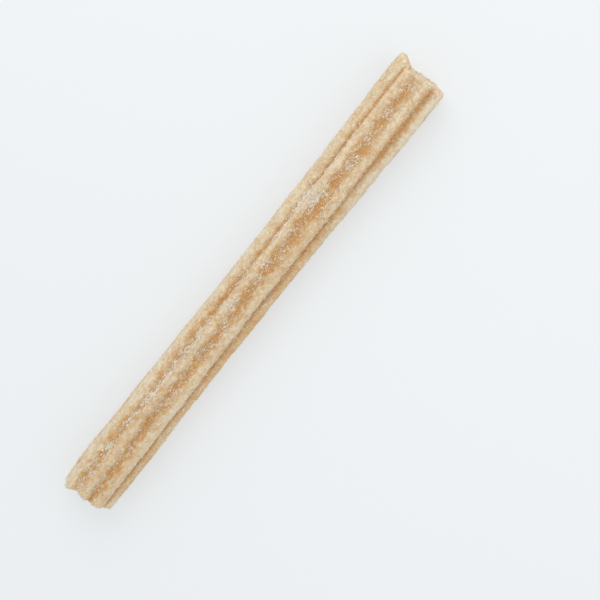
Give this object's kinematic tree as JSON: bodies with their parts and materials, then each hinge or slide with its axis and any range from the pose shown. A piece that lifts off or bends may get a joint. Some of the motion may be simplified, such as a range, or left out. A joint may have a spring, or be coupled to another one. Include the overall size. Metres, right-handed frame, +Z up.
{
  "type": "churro",
  "caption": "Straight stick of fried dough with a star-shaped section: rounded ridges turn slowly along it, and both ends are roughly cut.",
  "frame": {"origin": "bottom centre of the box, on the surface the churro lies on", "axes": "+X along the churro, +Z up"},
  "size_m": [0.2572, 0.0282, 0.0258],
  "materials": {
    "dough": "rough golden crust with a cream bloom on the ridges and sugar grains in the valleys"
  },
  "bodies": {
    "root": {"churro": "dough"}
  },
  "joints": []
}
